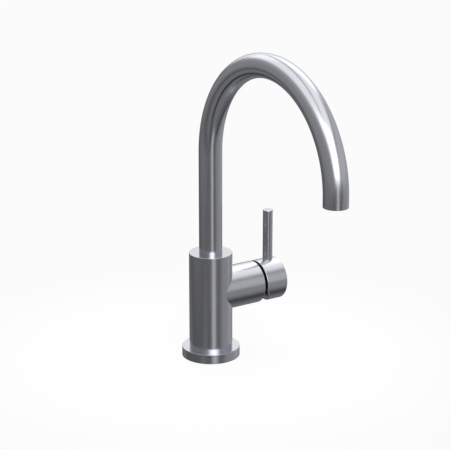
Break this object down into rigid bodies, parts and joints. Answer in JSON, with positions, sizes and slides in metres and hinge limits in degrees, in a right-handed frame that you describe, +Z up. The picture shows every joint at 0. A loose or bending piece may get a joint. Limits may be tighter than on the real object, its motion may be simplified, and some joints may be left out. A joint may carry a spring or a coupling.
{
  "type": "gooseneck bar faucet",
  "caption": "Slim bar faucet: a gooseneck spout that swivels on a plain cylindrical body, with a side lever over a ceramic mixing cartridge.",
  "frame": {"origin": "centre of the base's underside, on the deck", "axes": "+Z up the body, -Y towards the spout's outlet at rest, +X out along the handle's axis"},
  "size_m": [0.1127, 0.2507, 0.3361],
  "materials": {
    "body_steel": "satin",
    "handle_steel": "satin",
    "tube_steel": "satin",
    "screw_steel": "machined",
    "brass": "machined",
    "black_rubber": "matte",
    "black_plastic": "matte",
    "grey_plastic": "matte",
    "white_plastic": "matte",
    "ceramic": "lapped"
  },
  "bodies": {
    "valve": {"valve_body": "body_steel", "base_flange": "body_steel", "base_gasket": "black_rubber", "thrust_washer": "white_plastic", "spout_retaining_screw": "screw_steel", "cartridge_base": "grey_plastic", "inlet_port_seals": "black_rubber", "outlet_port_seal": "black_rubber", "fixed_disc_seals": "black_rubber", "cartridge_casing": "grey_plastic", "fixed_ceramic_disc": "ceramic", "cartridge_nut": "brass", "gap_ring": "black_plastic"},
    "rotor": {"lever_guide": "white_plastic", "pivot_pin": "screw_steel"},
    "lever": {"lever_stem": "brass", "handle_hub": "handle_steel", "lever_rod": "handle_steel", "hub_set_screw": "screw_steel"},
    "disc": {"disc_carrier": "white_plastic", "moving_ceramic_disc": "ceramic"},
    "spout": {"spout_tube": "tube_steel", "spout_spigot": "brass", "spigot_o_rings": "black_rubber", "lower_glide_ring": "white_plastic", "upper_glide_ring": "white_plastic", "outlet_insert": "brass", "aerator_housing": "black_plastic", "aerator_seal": "black_rubber", "aerator_grid": "white_plastic", "aerator_core": "white_plastic", "aerator_screens": "screw_steel"}
  },
  "joints": [
    {"name": "temperature", "type": "hinge", "parent": "valve", "child": "rotor", "pos_m": [0.04075, 0, 0.07], "axis": [1, 0, 0], "range_deg": [-45, 45]},
    {"name": "lift", "type": "hinge", "parent": "rotor", "child": "lever", "pos_m": [0.04075, 0, 0.07], "axis": [0, 1, 0], "range_deg": [0, 20]},
    {"name": "disc_slide", "type": "slide", "parent": "rotor", "child": "disc", "axis": [0, 0, 1], "range_m": [0, 0.00265]},
    {"name": "swivel", "type": "hinge", "parent": "valve", "child": "spout", "pos_m": [0, 0, 0.1], "axis": [0, 0, 1], "continuous": true}
  ],
  "couplings": [
    {"joint": "disc_slide", "follows": "lift", "m_per_rad": 0.0075}
  ]
}
